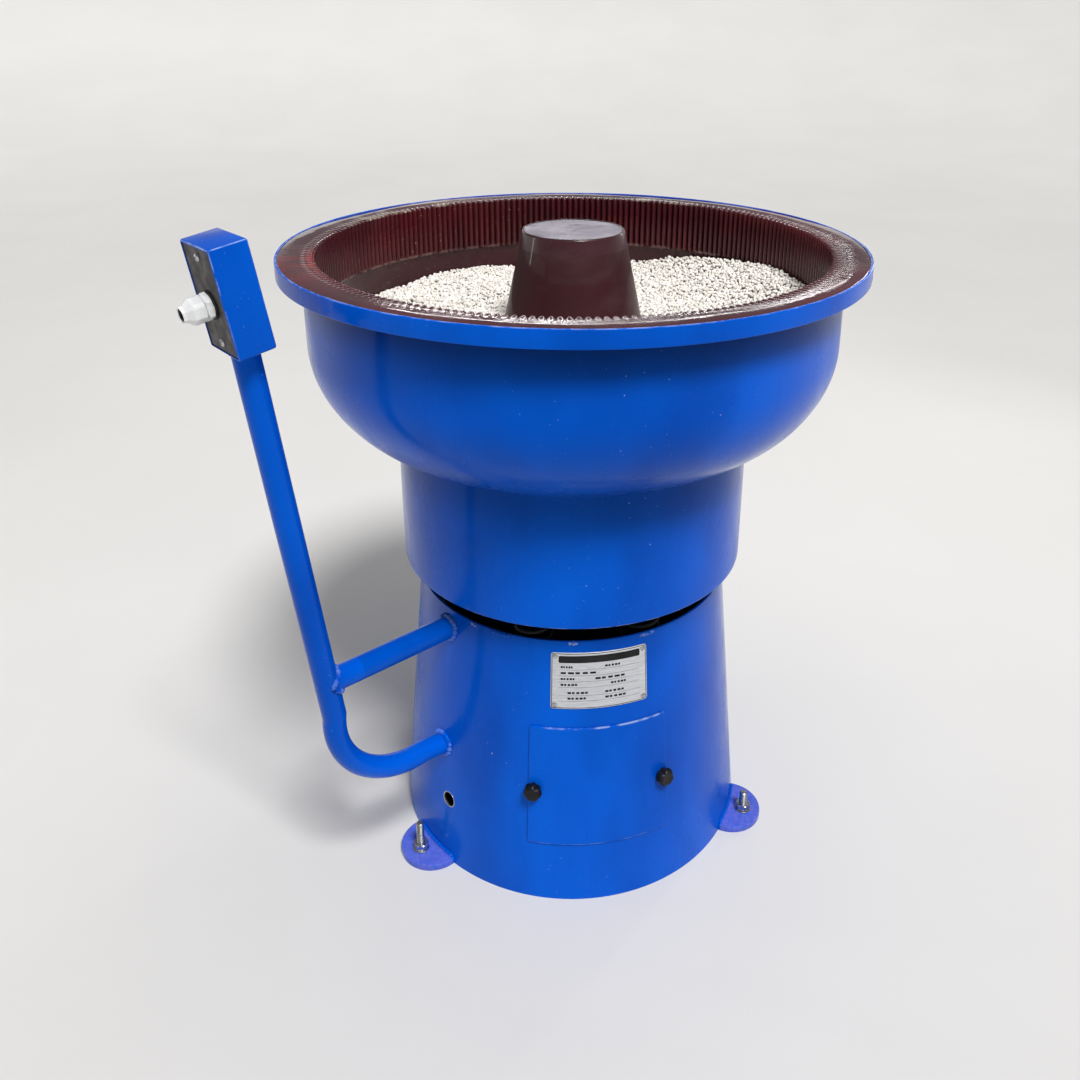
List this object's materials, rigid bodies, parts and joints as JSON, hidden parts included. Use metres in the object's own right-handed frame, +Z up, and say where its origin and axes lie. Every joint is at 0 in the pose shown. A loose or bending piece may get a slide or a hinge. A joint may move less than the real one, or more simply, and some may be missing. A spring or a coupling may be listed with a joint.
{
  "type": "vibratory rock tumbler",
  "caption": "Floor-standing vibratory tumbling bowl with a ribbed maroon lining and centre cone, sprung on a blue conical base with an access cover and a switch box on a bent pipe arm.",
  "frame": {"origin": "on the bowl's vertical axis, at floor level, at the centre of the base's footprint", "axes": "+Z up along the bowl's axis; -Y towards the front, where the access cover and the nameplate are; +X to the right seen from the front"},
  "size_m": [0.7397, 0.68, 0.8327],
  "materials": {
    "blue_enamel": "glossy hand-sprayed blue enamel",
    "maroon_polyurethane": "glossy dark maroon cast polyurethane",
    "cap_grey": "scuffed greyish cap",
    "abrasive_media": "cream-white ceramic granules",
    "zinc_steel": "bright zinc plating",
    "nameplate_metal": "printed aluminium plate",
    "box_cover_dark": "dark grey painted plate",
    "black_rubber": "matte black rubber",
    "light_grey_nylon": "light grey nylon",
    "black_plastic": "moulded black plastic",
    "bezel_metal": "bright bezel",
    "button_green": "green button",
    "button_red": "red button",
    "motor_paint": "grey painted casting",
    "bearing_steel": "ground steel",
    "stator_laminations": "varnished steel laminations",
    "weight_steel": "oiled steel plate",
    "black_steel": "black painted spring steel"
  },
  "bodies": {
    "base": {"base_shell": "blue_enamel", "base_ring": "blue_enamel", "foot_pads": "blue_enamel", "foot_studs": "zinc_steel", "foot_nuts": "zinc_steel", "foot_washers": "zinc_steel", "lower_spring_seats": "black_steel", "springs_front_right": "black_steel", "springs_back_right": "black_steel", "springs_back_left": "black_steel", "springs_front_left": "black_steel", "nameplate": "nameplate_metal", "nameplate_rivets": "zinc_steel", "control_arm": "blue_enamel", "arm_strut": "blue_enamel", "switch_box_shell": "blue_enamel", "switch_box_cover": "box_cover_dark", "switch_box_screws": "zinc_steel", "gland_washer": "black_rubber", "gland_body": "light_grey_nylon", "gland_cap": "light_grey_nylon", "gland_locknut": "light_grey_nylon", "contact_block": "black_plastic", "button_bezels": "bezel_metal"},
    "bowl": {"bowl_shell": "blue_enamel", "bowl_cone": "blue_enamel", "bowl_liner": "maroon_polyurethane", "cone_liner": "maroon_polyurethane", "rim_coat": "maroon_polyurethane", "rim_band": "blue_enamel", "rim_plate": "blue_enamel", "cone_cap": "cap_grey", "media_load": "abrasive_media", "skirt_shell": "blue_enamel", "motor_plate": "blue_enamel", "motor_gussets": "blue_enamel", "upper_spring_seats": "black_steel", "motor_housing": "motor_paint", "motor_lower_cover": "motor_paint", "motor_upper_cover": "motor_paint", "lower_bearing": "bearing_steel", "upper_bearing": "bearing_steel", "stator": "stator_laminations", "motor_bolts": "zinc_steel", "terminal_box": "motor_paint", "terminal_box_lid": "motor_paint"},
    "rotor": {"rotor_shaft": "bearing_steel", "rotor_core": "stator_laminations", "upper_weight": "weight_steel", "fixed_weight": "weight_steel"},
    "lead_weight": {"lead_weight": "weight_steel", "lead_weight_screw": "zinc_steel"},
    "access_cover": {"access_cover_plate": "blue_enamel"},
    "knob_left": {"knob_left": "black_plastic", "knob_stud_left": "zinc_steel"},
    "knob_right": {"knob_right": "black_plastic", "knob_stud_right": "zinc_steel"},
    "start_button": {"start_button": "button_green"},
    "stop_button": {"stop_button": "button_red"}
  },
  "joints": [
    {"name": "bowl_bounce", "type": "slide", "parent": "base", "child": "bowl", "axis": [0, 0, 1], "range_m": [-0.01, 0.006], "stiffness_N_per_m": 120000, "springref_m": 0.01481, "deforming": ["springs_front_right", "springs_back_right", "springs_back_left", "springs_front_left"]},
    {"name": "rotor_spin", "type": "hinge", "parent": "bowl", "child": "rotor", "pos_m": [0, 0, 0.35], "axis": [0, 0, 1], "continuous": true},
    {"name": "lead_weight_set", "type": "hinge", "parent": "rotor", "child": "lead_weight", "pos_m": [0, 0, 0.185], "axis": [0, 0, 1], "range_deg": [0, 120]},
    {"name": "cover_out", "type": "slide", "parent": "base", "child": "access_cover", "axis": [0, -1, 0], "range_m": [0, 0.15]},
    {"name": "knob_left_turn", "type": "hinge", "parent": "access_cover", "child": "knob_left", "pos_m": [-0.07728, -0.19923, 0.153], "axis": [-0.3601, -0.9283, 0.0931], "continuous": true},
    {"name": "knob_right_turn", "type": "hinge", "parent": "access_cover", "child": "knob_right", "pos_m": [0.07728, -0.19923, 0.153], "axis": [0.3601, -0.9283, 0.0931], "continuous": true},
    {"name": "start_press", "type": "slide", "parent": "base", "child": "start_button", "axis": [-0.8367, -0.5228, -0.1633], "range_m": [0, 0.003], "stiffness_N_per_m": 400, "springref_m": -0.002},
    {"name": "stop_press", "type": "slide", "parent": "base", "child": "stop_button", "axis": [-0.8367, -0.5228, -0.1633], "range_m": [0, 0.004], "stiffness_N_per_m": 400, "springref_m": -0.002}
  ]
}
